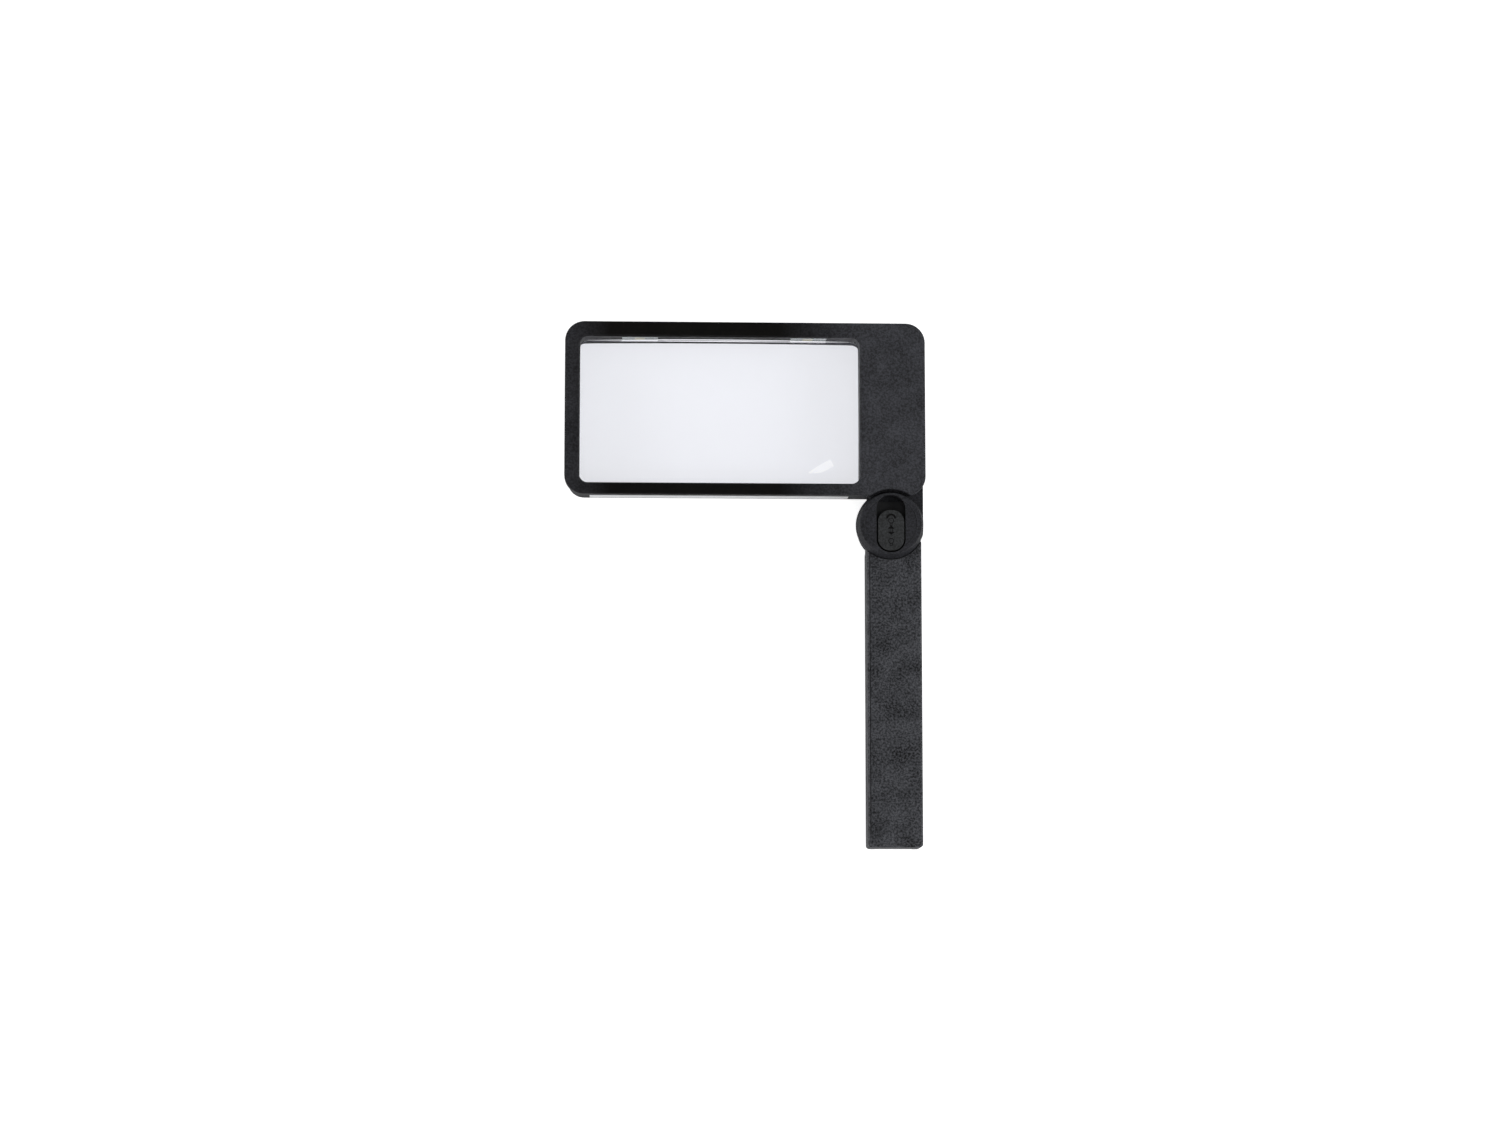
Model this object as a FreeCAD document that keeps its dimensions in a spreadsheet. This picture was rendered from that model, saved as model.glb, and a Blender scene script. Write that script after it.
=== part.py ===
import FreeCAD, Part
import os
import re

import Sketcher
from FreeCAD import Placement, Rotation, Vector

# Folding illuminated reading magnifier.  The hinge axis is Z and the origin is on it, at the back plane.
# The frame lies towards +Y and -X of the hinge, the open handle hangs towards -Y, the front faces +Z.

doc = FreeCAD.newDocument("reading_magnifier")
sheet = doc.addObject("Spreadsheet::Sheet", "Sizes")
aliases = []
derived = {}
subparts = []


def driving(alias, number, note):
    """One driving size: a row of the sheet with its note, its number and its name."""
    aliases.append(alias)
    row = len(aliases)
    sheet.set(f"A{row}", note)
    sheet.set(f"B{row}", str(number))
    sheet.setAlias(f"B{row}", alias)


def derive(name, text):
    """A size or place that follows from the driving ones."""
    derived[name] = text


def formula(text):
    """The text with each name written as its sheet cell or as its own formula."""
    def swap(match):
        word = match.group()
        if word in aliases:
            return "Sizes." + word
        if word in derived:
            return "(" + formula(derived[word]) + ")"
        return word
    return re.sub(r"[a-z_]+", swap, str(text))


def value(text):
    """The number that a formula gives now."""
    return float(sheet.evalExpression(formula(text)))


def bind(item, **texts):
    """Ties properties of an object to the sheet."""
    for name, text in texts.items():
        item.setExpression(name, formula(text))


def bind_base(item, prop, x, y, z):
    """Ties the three coordinates of a placement to the sheet."""
    item.setExpression(f"{prop}.Base.x", formula(x))
    item.setExpression(f"{prop}.Base.y", formula(y))
    item.setExpression(f"{prop}.Base.z", formula(z))


def subpart(item, label):
    """Names a finished sub-part and lists it for export."""
    item.Label = label
    subparts.append(item)
    return item


# ---- Part workbench helpers ----

def box(name, x, y, z, length, width, height):
    item = doc.addObject("Part::Box", name)
    bind(item, Length=length, Width=width, Height=height)
    bind_base(item, "Placement", x, y, z)
    return item


def cylinder(name, x, y, z, radius, height, along="Z"):
    item = doc.addObject("Part::Cylinder", name)
    turns = {"Z": Rotation(), "Y": Rotation(Vector(1, 0, 0), -90), "X": Rotation(Vector(0, 1, 0), 90)}
    item.Placement = Placement(Vector(), turns[along])
    bind(item, Radius=radius, Height=height)
    bind_base(item, "Placement", x, y, z)
    return item


def fuse(name, *items):
    item = doc.addObject("Part::MultiFuse", name)
    item.Shapes = list(items)
    item.Refine = True
    return item


def group(name, *items):
    item = doc.addObject("Part::Compound", name)
    item.Links = list(items)
    return item


def cut(name, base, *tools):
    item = doc.addObject("Part::Cut", name)
    item.Base = base
    item.Tool = tools[0] if len(tools) == 1 else fuse(name + "_tools", *tools)
    return item


# ---- PartDesign helpers ----

def new_body(name):
    return doc.addObject("PartDesign::Body", name + "_body")


def sketch(body, name, x, y, z):
    """An empty sketch on the body's XY plane with its own origin at x, y, z."""
    item = body.newObject("Sketcher::SketchObject", f"{body.Name}_{name}")
    plane = [feature for feature in body.Origin.OriginFeatures if feature.Role == "XY_Plane"][0]
    item.AttachmentSupport = [(plane, "")]
    item.MapMode = "FlatFace"
    bind_base(item, "AttachmentOffset", x, y, z)
    item.Visibility = False
    return item


def constrain(item, name, text, *references):
    """Adds a dimension to a sketch, named and tied to the sheet."""
    index = item.addConstraint(Sketcher.Constraint(*references, value(text)))
    item.renameConstraint(index, name)
    item.setExpression(f"Constraints.{name}", formula(text))


def draw_plate(item, width, height, radius):
    """A rectangle with round corners from the sketch's origin to width, height."""
    wide, high, r = value(width), value(height), value(radius)
    up = Vector(0, 0, 1)
    quarter = 1.5707963267948966

    def line(x0, y0, x1, y1):
        return Part.LineSegment(Vector(x0, y0, 0), Vector(x1, y1, 0))

    def corner(x, y, start):
        return Part.ArcOfCircle(Part.Circle(Vector(x, y, 0), up, r), start * quarter, (start + 1) * quarter)

    item.addGeometry([
        line(r, 0, wide - r, 0), corner(wide - r, r, 3),
        line(wide, r, wide, high - r), corner(wide - r, high - r, 0),
        line(wide - r, high, r, high), corner(r, high - r, 1),
        line(0, high - r, 0, r), corner(r, r, 2),
    ], False)
    for side in range(8):
        item.addConstraint(Sketcher.Constraint("Tangent", side, 2, (side + 1) % 8, 1))
    item.addConstraint(Sketcher.Constraint("Horizontal", 0))
    item.addConstraint(Sketcher.Constraint("Horizontal", 4))
    item.addConstraint(Sketcher.Constraint("Vertical", 2))
    item.addConstraint(Sketcher.Constraint("Vertical", 6))
    for other in (3, 5, 7):
        item.addConstraint(Sketcher.Constraint("Equal", 1, other))
    item.addConstraint(Sketcher.Constraint("PointOnObject", 0, 1, -1))
    item.addConstraint(Sketcher.Constraint("PointOnObject", 6, 1, -2))
    constrain(item, "width", width, "DistanceX", -1, 1, 2, 1)
    constrain(item, "height", height, "DistanceY", -1, 1, 4, 1)
    constrain(item, "radius", radius, "Radius", 1)


def draw_rectangle(item, width, height):
    """A plain rectangle from the sketch's origin to width, height."""
    wide, high = value(width), value(height)
    corners = [Vector(0, 0, 0), Vector(wide, 0, 0), Vector(wide, high, 0), Vector(0, high, 0)]
    for side in range(4):
        item.addGeometry(Part.LineSegment(corners[side], corners[(side + 1) % 4]), False)
    for side in range(4):
        item.addConstraint(Sketcher.Constraint("Coincident", side, 2, (side + 1) % 4, 1))
    item.addConstraint(Sketcher.Constraint("Coincident", 0, 1, -1, 1))
    item.addConstraint(Sketcher.Constraint("Horizontal", 0))
    item.addConstraint(Sketcher.Constraint("Horizontal", 2))
    item.addConstraint(Sketcher.Constraint("Vertical", 1))
    item.addConstraint(Sketcher.Constraint("Vertical", 3))
    constrain(item, "width", width, "DistanceX", 0, 1, 0, 2)
    constrain(item, "height", height, "DistanceY", 1, 1, 1, 2)


def draw_circles(item, *radii):
    """Circles about the sketch's origin: one for a disc, two for a ring."""
    for number, radius in enumerate(radii):
        item.addGeometry(Part.Circle(Vector(0, 0, 0), Vector(0, 0, 1), value(radius)), False)
        item.addConstraint(Sketcher.Constraint("Coincident", number, 3, -1, 1))
        constrain(item, f"radius_{number}", radius, "Radius", number)


def extrude(body, kind, name, profile, length):
    item = body.newObject(f"PartDesign::{kind}", f"{body.Name}_{name}")
    item.Profile = profile
    bind(item, Length=length)
    return item


def pad_plate(body, name, x, y, low, high, width, height, radius):
    """Adds a round-cornered block between two levels."""
    profile = sketch(body, name + "_outline", x, y, low)
    draw_plate(profile, width, height, radius)
    return extrude(body, "Pad", name, profile, f"{high} - ({low})")


def pad_block(body, name, x, y, low, high, width, height):
    profile = sketch(body, name + "_outline", x, y, low)
    draw_rectangle(profile, width, height)
    return extrude(body, "Pad", name, profile, f"{high} - ({low})")


def pad_disc(body, name, x, y, low, high, *radii):
    profile = sketch(body, name + "_outline", x, y, low)
    draw_circles(profile, *radii)
    return extrude(body, "Pad", name, profile, f"{high} - ({low})")


def cut_plate(body, name, x, y, low, high, width, height, radius):
    """Cuts a round-cornered hollow between two levels."""
    profile = sketch(body, name + "_outline", x, y, high)
    draw_plate(profile, width, height, radius)
    return extrude(body, "Pocket", name, profile, f"{high} - ({low})")


def cut_block(body, name, x, y, low, high, width, height):
    profile = sketch(body, name + "_outline", x, y, high)
    draw_rectangle(profile, width, height)
    return extrude(body, "Pocket", name, profile, f"{high} - ({low})")


def cut_disc(body, name, x, y, low, high, *radii):
    profile = sketch(body, name + "_outline", x, y, high)
    draw_circles(profile, *radii)
    return extrude(body, "Pocket", name, profile, f"{high} - ({low})")


def dress(body, kind, name, size, wanted):
    """Rounds (Fillet) or bevels (Chamfer) the edges of the body that the test wants."""
    doc.recompute()
    base = body.Tip
    names = [f"Edge{number + 1}" for number, edge in enumerate(base.Shape.Edges) if wanted(edge)]
    item = body.newObject(f"PartDesign::{kind}", f"{body.Name}_{name}")
    item.Base = (base, names)
    if kind == "Fillet":
        bind(item, Radius=size)
    else:
        bind(item, Size=size)
    return item


def edge_lies_at(edge, level):
    """True for an edge that lies flat at one height."""
    bounds = edge.BoundBox
    return abs(bounds.ZMin - level) < 0.001 and abs(bounds.ZMax - level) < 0.001


def inside(edge, x0, x1, y0, y1):
    """True for an edge whose plan lies inside a rectangle."""
    bounds = edge.BoundBox
    return bounds.XMin > x0 and bounds.XMax < x1 and bounds.YMin > y0 and bounds.YMax < y1


# ---- Driving sizes, in millimetres ----

driving("frame_right", 12.4, "hinge axis to the frame's right edge")
driving("frame_length", 128.7, "frame, left to right")
driving("frame_bottom", 10.0, "hinge axis to the frame's lower edge")
driving("frame_height", 62.35, "frame, lower to upper edge")
driving("frame_depth", 17.8, "frame, back to front")
driving("corner_radius", 7.0, "frame corner")
driving("rail_left", 5.3, "left rail width")
driving("rail_bottom", 4.15, "lower rail width")
driving("rail_top", 5.4, "upper rail width")
driving("window_length", 100.0, "window, left to right")
driving("window_radius", 3.0, "window corner")
driving("window_bevel", 0.5, "bevel round the window")
driving("cover_skirt", 3.6, "depth of the cover's side")
driving("cover_face", 1.5, "thickness of the cover's face")
driving("edge_round", 0.35, "rounding of the cover's outer edge")
driving("housing_inset", 1.1, "housing's step back from the cover's side")
driving("ear_inset", 0.7, "ear's step back from the cover's right side")
driving("housing_floor", 1.5, "thickness of the housing's back")
driving("back_bevel", 0.6, "bevel of the housing's back edge")
driving("shell_wall", 1.2, "thickness of the frame's side walls")
driving("close_fit", 0.1, "clearance round a fitted piece")
driving("lens_curve", 400.0, "radius of both lens faces")
driving("lens_middle", 9.5, "lens thickness in the middle")
driving("flange_level", 8.5, "back of the lens flange")
driving("flange_thickness", 1.6, "lens flange thickness")
driving("flange_lap", 0.9, "how far the flange reaches behind the window's edge")
driving("spot_radius", 10.2, "strong spot in the lens")
driving("spot_curve", 60.0, "radius of the strong spot's face")
driving("spot_from_right", 16.1, "window's right edge to the spot's centre")
driving("spot_from_bottom", 14.7, "window's lower edge to the spot's centre")
driving("strip_length", 93.0, "clear strip in the lower side")
driving("strip_from_left", 8.9, "frame's left edge to the strip")
driving("strip_low", 1.0, "strip's lower edge above the back")
driving("strip_height", 12.4, "strip, back to front")
driving("keeper_thickness", 0.5, "thin edge behind the strip that keeps it in")
driving("light_width", 12.8, "light window, left to right")
driving("light_low", 4.0, "light window's back edge")
driving("light_high", 15.6, "light window's front edge")
driving("light_left", 15.1, "window's left edge to the left light window")
driving("light_right", 11.8, "window's right edge to the right light window")
driving("light_thickness", 1.1, "light window thickness")
driving("chip_height", 0.7, "light chip thickness")
driving("chip_width", 3.5, "light chip, left to right")
driving("chip_depth", 2.8, "light chip, back to front")
driving("board_thickness", 0.7, "light board thickness")
driving("board_height", 5.0, "light board, back to front")
driving("driver_width", 11.8, "driver board, left to right")
driving("driver_length", 20.0, "driver board, lower to upper end")
driving("driver_rise", 2.5, "driver board above the housing's floor")
driving("lead_radius", 0.45, "lead with its insulation")
driving("hub_base_radius", 12.2, "hub plate at its foot")
driving("hub_face_radius", 11.0, "hub plate at its face")
driving("hub_top", 17.0, "hub plate's face above the back")
driving("hub_wall", 1.5, "thickness of the hub plate's face")
driving("hub_base_height", 1.2, "thickness of the plate that closes the hub")
driving("base_step", 0.4, "hub's face edge to the seat of that plate")
driving("dish_radius", 9.4, "shallow dish round the switch")
driving("dish_depth", 0.25, "depth of the dish")
driving("scoop_gap", 0.2, "gap between the hub's foot and the cover's scoop")
driving("cheek_thickness", 2.0, "rear cheek of the hinge")
driving("hinge_gap", 0.3, "clearance between the moving parts of the hinge")
driving("tongue_top", 10.4, "front of the handle's tongue")
driving("tongue_radius", 10.0, "handle's tongue")
driving("washer_radius", 7.6, "friction washer")
driving("washer_thickness", 0.5, "friction washer")
driving("pivot_radius", 4.0, "pivot tube")
driving("pivot_bore", 3.0, "bore of the pivot tube")
driving("pivot_fit", 0.06, "running clearance on the pivot")
driving("inner_track", 5.45, "radius of the inner contact ring's middle")
driving("outer_track", 7.75, "radius of the outer contact ring's middle")
driving("track_width", 0.9, "width of the contact rings and of the springs on them")
driving("contact_rise", 0.1, "play under the spring contacts")
driving("leaf_thickness", 0.3, "sheet of the contacts")
driving("ear_height", 22.0, "hinge axis to the end of the ear")
driving("ear_left", 7.5, "hinge axis to the ear's left side")
driving("knob_width", 9.4, "switch knob, left to right")
driving("knob_length", 14.7, "switch knob along its travel")
driving("knob_radius", 4.3, "switch knob corner")
driving("knob_gap", 0.5, "clearance round the knob")
driving("switch_travel", 4.9, "travel of the switch")
driving("slot_rise", 0.0, "slot's middle above the hinge axis")
driving("room_width", 13.4, "hollow under the hub's face, left to right")
driving("room_length", 17.2, "hollow under the hub's face, lower to upper end")
driving("knob_flange", 12.4, "flange that holds the knob in, left to right")
driving("knob_rise", 0.15, "knob's face above the hub's face")
driving("sign_depth", 0.2, "depth of the signs on the knob")
driving("sign_line", 0.25, "line width of the signs")
driving("sign_step", 4.2, "knob's middle to the signs near its ends")
driving("arrow_width", 2.7, "double arrow, left to right")
driving("arrow_height", 3.4, "double arrow, lower to upper point")
driving("arrow_head", 1.15, "height of each arrow head")
driving("bulb_radius", 1.0, "outline of the lamp signs")
driving("glow_radius", 1.8, "half ring over the lit lamp")
driving("glow_width", 0.7, "half ring over the lit lamp")
driving("handle_left", 8.3, "hinge axis to the handle's left side")
driving("side_room", 2.0, "room for a lead beside the ribs")
driving("handle_length", 114.8, "hinge axis to the handle's end")
driving("cell_headroom", 0.1, "clearance under and over the cells")
driving("handle_wall", 1.3, "thickness of the handle's walls")
driving("handle_corner", 1.2, "handle corner")
driving("handle_bevel", 0.6, "bevel along the handle's front")
driving("groove_inset", 0.75, "handle's left side to the fine groove in its face")
driving("groove_width", 0.3, "fine groove")
driving("groove_depth", 0.4, "fine groove")
driving("end_bevel", 1.5, "bevel at the handle's end")
driving("end_slope", 30.0, "slope of that bevel, in degrees")
driving("handle_parting", 6.6, "joint between the handle's shells")
driving("grip_gap", 0.3, "gap between the hub's foot and the grip")
driving("neck_top", 4.0, "hinge axis to the square part of the tongue")
driving("cell_radius", 5.25, "battery cell")
driving("cell_length", 43.7, "battery cell without its nub")
driving("nub_length", 0.8, "nub of the battery cell")
driving("nub_radius", 1.9, "nub of the battery cell")
driving("rib_thickness", 1.0, "ribs beside the cells")
driving("cell_play", 0.15, "clearance beside the cells")
driving("contact_start", 17.0, "hinge axis to the cells' end contact")
driving("door_width", 13.0, "battery door")
driving("door_wing", 1.0, "battery door's side wings")
driving("door_thickness", 1.2, "battery door")
driving("door_lip", 0.5, "shell lip that holds the door's wings")
driving("door_start", 20.0, "hinge axis to the door's inner end")
driving("door_gap", 0.2, "clearance round the door")
driving("screw_radius", 1.0, "screw shank")
driving("head_radius", 1.8, "screw head")
driving("head_height", 0.8, "screw head")
driving("boss_wall", 1.1, "wall of the screw bosses")

# ---- Places that follow from them ----

derive("frame_left", "frame_right - frame_length")
derive("frame_top", "frame_bottom + frame_height")
derive("window_left", "frame_left + rail_left")
derive("window_right", "window_left + window_length")
derive("window_bottom", "frame_bottom + rail_bottom")
derive("window_top", "frame_top - rail_top")
derive("window_height", "window_top - window_bottom")
derive("cover_low", "frame_depth - cover_skirt")
derive("cover_under", "frame_depth - cover_face")
derive("flange_top", "flange_level + flange_thickness")
derive("housing_left", "frame_left + housing_inset")
derive("housing_right", "frame_right - housing_inset")
derive("housing_bottom", "frame_bottom + housing_inset")
derive("housing_top", "frame_top - housing_inset")
derive("block_left", "window_right + shell_wall + close_fit")
derive("block_right", "housing_right - shell_wall")
derive("ear_right", "frame_right - ear_inset")
derive("hub_low", "tongue_top + hinge_gap")
derive("hub_floor", "hub_low + hub_base_height")
derive("hub_roof", "hub_top - hub_wall")
derive("scoop_radius", "hub_base_radius + scoop_gap")
derive("ear_top", "cover_low - close_fit")
derive("tongue_low", "cheek_thickness + hinge_gap")
derive("grip_radius", "hub_base_radius + grip_gap")
derive("handle_depth", "door_thickness + door_gap + 2 * cell_radius + cell_headroom + handle_wall")
derive("handle_width", "2 * (cell_radius + cell_play + rib_thickness + side_room + handle_wall)")
derive("handle_right", "handle_width - handle_left")
derive("handle_middle", "handle_right - handle_width / 2")
derive("hollow_top", "handle_depth - handle_wall")
derive("hollow_end", "handle_length - handle_wall")
derive("cell_level", "(door_thickness + door_gap + hollow_top) / 2")
derive("slot_length", "knob_length + switch_travel + 2 * knob_gap")
derive("slot_bottom", "slot_rise - slot_length / 2")
derive("knob_bottom", "slot_bottom + knob_gap")
derive("knob_middle", "knob_bottom + knob_length / 2")
derive("knob_face", "hub_top + knob_rise")
derive("base_radius", "hub_face_radius - base_step")
derive("channel_low", "window_top + shell_wall")
derive("channel_high", "housing_top - shell_wall")
derive("upper_screws", "channel_high - 5")
derive("lower_screws", "frame_bottom + 20")
doc.recompute()


# ---- Frame ----

BLOCK_SCREWS = (("block_left + 5.4", "upper_screws"), ("block_right - 4.2", "upper_screws"),
                ("block_left + 5.4", "lower_screws"), ("block_right - 4.2", "lower_screws"))
EAR_SCREWS = (("7.2 - ear_left", "ear_height - 4"), ("ear_right - 5.8", "ear_height - 4"))


def make_front_cover():
    """Face, side skirt and the wall that comes down round the lens."""
    body = new_body("cover")
    pad_plate(body, "face", "frame_left", "frame_bottom", "cover_low", "frame_depth",
              "frame_length", "frame_height", "corner_radius")
    pad_plate(body, "lens_wall", "window_left - shell_wall", "window_bottom - shell_wall", "flange_top",
              "cover_low", "window_length + 2 * shell_wall", "window_height + 2 * shell_wall",
              "window_radius + shell_wall")
    cut_plate(body, "window", "window_left", "window_bottom", "flange_top - 1", "frame_depth + 1",
              "window_length", "window_height", "window_radius")
    cut_disc(body, "scoop", "0", "0", "flange_top", "frame_depth + 1", "scoop_radius")
    cut_block(body, "block_hollow", "block_left", "ear_height + 1", "cover_low - 1", "cover_under",
              "block_right - block_left", "channel_high - ear_height - 1")
    cut_block(body, "light_channel", "window_left", "channel_low", "cover_low - 1", "cover_under",
              "window_length + 5", "channel_high - channel_low")
    for side, place in (("left", "window_left + light_left"),
                        ("right", "window_right - light_right - light_width")):
        cut_block(body, side + "_light_notch", place + " - close_fit", "window_top - 1", "flange_top - 1",
                  "light_high + close_fit", "light_width + 2 * close_fit", "shell_wall + 2")
    for number, (x, y) in enumerate(BLOCK_SCREWS):
        pad_disc(body, f"boss_{number}", x, y, "cover_low", "cover_under + 0.1", "screw_radius + boss_wall")
        cut_disc(body, f"boss_hole_{number}", x, y, "cover_low - 1", "cover_under - 0.2", "screw_radius")
    front = value("frame_depth")
    wide = value("window_length")
    dress(body, "Fillet", "outer_round", "edge_round",
          lambda edge: edge_lies_at(edge, front) and not inside(
              edge, value("window_left") - 0.1, value("window_right") + 0.1,
              value("window_bottom") - 0.1, value("window_top") + 0.1))
    dress(body, "Chamfer", "window_bevel", "window_bevel",
          lambda edge: edge_lies_at(edge, front) and edge.BoundBox.XLength < wide + 1 and inside(
              edge, value("window_left") - 0.1, value("window_right") + 0.1,
              value("window_bottom") - 0.1, value("window_top") + 0.1))
    return subpart(body, "frame_front_cover")


def make_rear_housing():
    """Tray behind the cover, with the rear cheek of the hinge and the post that carries the ear."""
    body = new_body("housing")
    pad_plate(body, "tray", "housing_left", "housing_bottom", "0", "cover_low",
              "housing_right - housing_left", "housing_top - housing_bottom",
              "corner_radius - housing_inset")
    dress(body, "Chamfer", "back_bevel", "back_bevel", lambda edge: edge_lies_at(edge, 0))
    cut_plate(body, "hollow", "housing_left + shell_wall", "housing_bottom + shell_wall", "housing_floor",
              "cover_low + 1", "housing_right - housing_left - 2 * shell_wall",
              "housing_top - housing_bottom - 2 * shell_wall", "corner_radius - housing_inset - shell_wall")
    pad_plate(body, "lens_wall", "window_left - shell_wall", "window_bottom - shell_wall", "0",
              "flange_level", "window_length + 2 * shell_wall", "window_height + 2 * shell_wall",
              "window_radius + shell_wall")
    cut_plate(body, "window", "window_left", "window_bottom", "-1", "flange_level + 1",
              "window_length", "window_height", "window_radius")
    pad_disc(body, "cheek", "0", "0", "0", "cheek_thickness", "hub_face_radius")
    pad_block(body, "cheek_root", "-ear_left", "0", "0", "cheek_thickness", "housing_right + ear_left",
              "housing_bottom + shell_wall")
    pad_block(body, "post", "1", "1", "0", "hub_low - close_fit", "housing_right - 1",
              "housing_bottom + shell_wall")
    cut_disc(body, "tongue_room", "0", "0", "cheek_thickness", "hub_low", "tongue_radius + hinge_gap")
    cut_disc(body, "hub_room", "0", "0", "hub_low - close_fit", "cover_low + 1", "scoop_radius")
    cut_block(body, "ear_room", "-ear_left - close_fit", "housing_bottom - 1", "hub_low - close_fit",
              "cover_low + 1", "housing_right + ear_left + 2", "ear_height + close_fit - housing_bottom + 1")
    cut_disc(body, "washer_seat", "0", "0", "cheek_thickness - washer_thickness", "cheek_thickness + 1",
             "washer_radius + 0.2")
    cut_disc(body, "tube_seat", "0", "0", "0.8", "cheek_thickness + 1", "pivot_radius + pivot_fit")
    for number, (x, y) in enumerate(BLOCK_SCREWS):
        pad_disc(body, f"boss_{number}", x, y, "0", "cover_low", "screw_radius + boss_wall")
        cut_disc(body, f"boss_hole_{number}", x, y, "-1", "cover_low + 1", "screw_radius + close_fit")
        cut_disc(body, f"head_seat_{number}", x, y, "-1", "head_height + 0.3", "head_radius + close_fit")
    for number, (x, y) in enumerate(EAR_SCREWS):
        pad_disc(body, f"ear_boss_{number}", x, y, "0", "hub_low - close_fit", "screw_radius + boss_wall")
        cut_disc(body, f"ear_hole_{number}", x, y, "-1", "hub_low + 1", "screw_radius + close_fit")
        cut_disc(body, f"ear_head_seat_{number}", x, y, "-1", "head_height + 0.3", "head_radius + close_fit")
    cut_block(body, "strip_slot", "frame_left + strip_from_left", "housing_bottom - 1", "strip_low",
              "strip_low + strip_height", "strip_length", "shell_wall + 1")
    for side, place in (("left", "window_left + light_left"),
                        ("right", "window_right - light_right - light_width")):
        cut_block(body, side + "_light_notch", place + " - close_fit", "window_top - 1", "light_low",
                  "flange_level + 1", "light_width + 2 * close_fit", "shell_wall + 1")
    return subpart(body, "frame_rear_housing")


def make_lens():
    """Double convex lens with a thin flange, notched at the light windows, and a stronger round spot."""
    derive("lens_x", "window_left + window_length / 2")
    derive("lens_y", "window_bottom + window_height / 2")
    derive("lens_z", "flange_level + flange_thickness / 2")
    derive("face_centre", "lens_curve - lens_middle / 2")
    blank = new_body("lens_blank")
    pad_plate(blank, "aperture", "window_left + close_fit", "window_bottom + close_fit", "0",
              "frame_depth", "window_length - 2 * close_fit", "window_height - 2 * close_fit",
              "window_radius - close_fit")
    faces = []
    for side, level in (("front", "lens_z - face_centre"), ("back", "lens_z + face_centre")):
        ball = doc.addObject("Part::Sphere", f"lens_{side}_face")
        bind(ball, Radius="lens_curve")
        bind_base(ball, "Placement", "lens_x", "lens_y", level)
        faces.append(ball)
    optic = doc.addObject("Part::MultiCommon", "lens_optic")
    optic.Shapes = [blank] + faces
    rim = new_body("lens_rim")
    pad_plate(rim, "flange", "window_left - flange_lap", "window_bottom - flange_lap", "flange_level",
              "flange_top", "window_length + 2 * flange_lap", "window_height + 2 * flange_lap",
              "window_radius + flange_lap")
    for side, place in (("left", "window_left + light_left"),
                        ("right", "window_right - light_right - light_width")):
        cut_block(rim, side + "_notch", place + " - close_fit", "window_top - close_fit",
                  "flange_level - 1", "flange_top + 1", "light_width + 2 * close_fit", "flange_lap + 1")
    derive("spot_x", "window_length / 2 - spot_from_right")
    derive("spot_y", "spot_from_bottom - window_height / 2")
    derive("spot_z", "sqrt(lens_curve ^ 2 - spot_x ^ 2 - spot_y ^ 2)")
    derive("spot_reach", "(sqrt(lens_curve ^ 2 - spot_radius ^ 2)"
                         " - sqrt(spot_curve ^ 2 - spot_radius ^ 2)) / lens_curve")
    ball = doc.addObject("Part::Sphere", "spot_face")
    bind(ball, Radius="spot_curve")
    bind_base(ball, "Placement", "lens_x + spot_x * spot_reach", "lens_y + spot_y * spot_reach",
              "lens_z - face_centre + spot_z * spot_reach")
    column = cylinder("spot_column", "lens_x + spot_x", "lens_y + spot_y", "lens_z",
                      "spot_radius + 1.5", "frame_depth")
    cap = doc.addObject("Part::Common", "spot_cap")
    cap.Base = ball
    cap.Tool = column
    return subpart(fuse("lens", optic, rim, cap), "main_lens")


def make_edge_strip():
    """Clear strip set into the lower side of the housing."""
    body = new_body("strip")
    pad_block(body, "bar", "frame_left + strip_from_left + close_fit", "housing_bottom",
              "strip_low + close_fit", "strip_low + strip_height - close_fit",
              "strip_length - 2 * close_fit", "shell_wall")
    pad_block(body, "keeper", "frame_left + strip_from_left - 0.3", "housing_bottom + shell_wall",
              "housing_floor + close_fit", "strip_low + strip_height + 0.5",
              "strip_length + 0.6", "keeper_thickness")
    return subpart(body, "clear_edge_strip")


def make_lights():
    """Light windows, chips and their board in the upper rail."""
    chips = []
    for side, place in (("left", "window_left + light_left"),
                        ("right", "window_right - light_right - light_width")):
        pane = box(f"light_pane_{side}", place, "window_top", "light_low", "light_width",
                   "light_thickness", "light_high - light_low")
        subpart(pane, f"led_window_{side}")
        chips.append(box(f"chip_{side}", f"{place} + light_width / 2 - chip_width / 2",
                         "window_top + light_thickness + close_fit", "flange_level - chip_depth / 2",
                         "chip_width", "chip_height", "chip_depth"))
    subpart(group("chips", *chips), "led_chips")
    board = box("light_board", "window_left + light_left - 3",
                "window_top + light_thickness + close_fit + chip_height",
                "flange_level - board_height / 2", "window_length - light_left + 2",
                "board_thickness", "board_height")
    subpart(board, "led_board")


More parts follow.
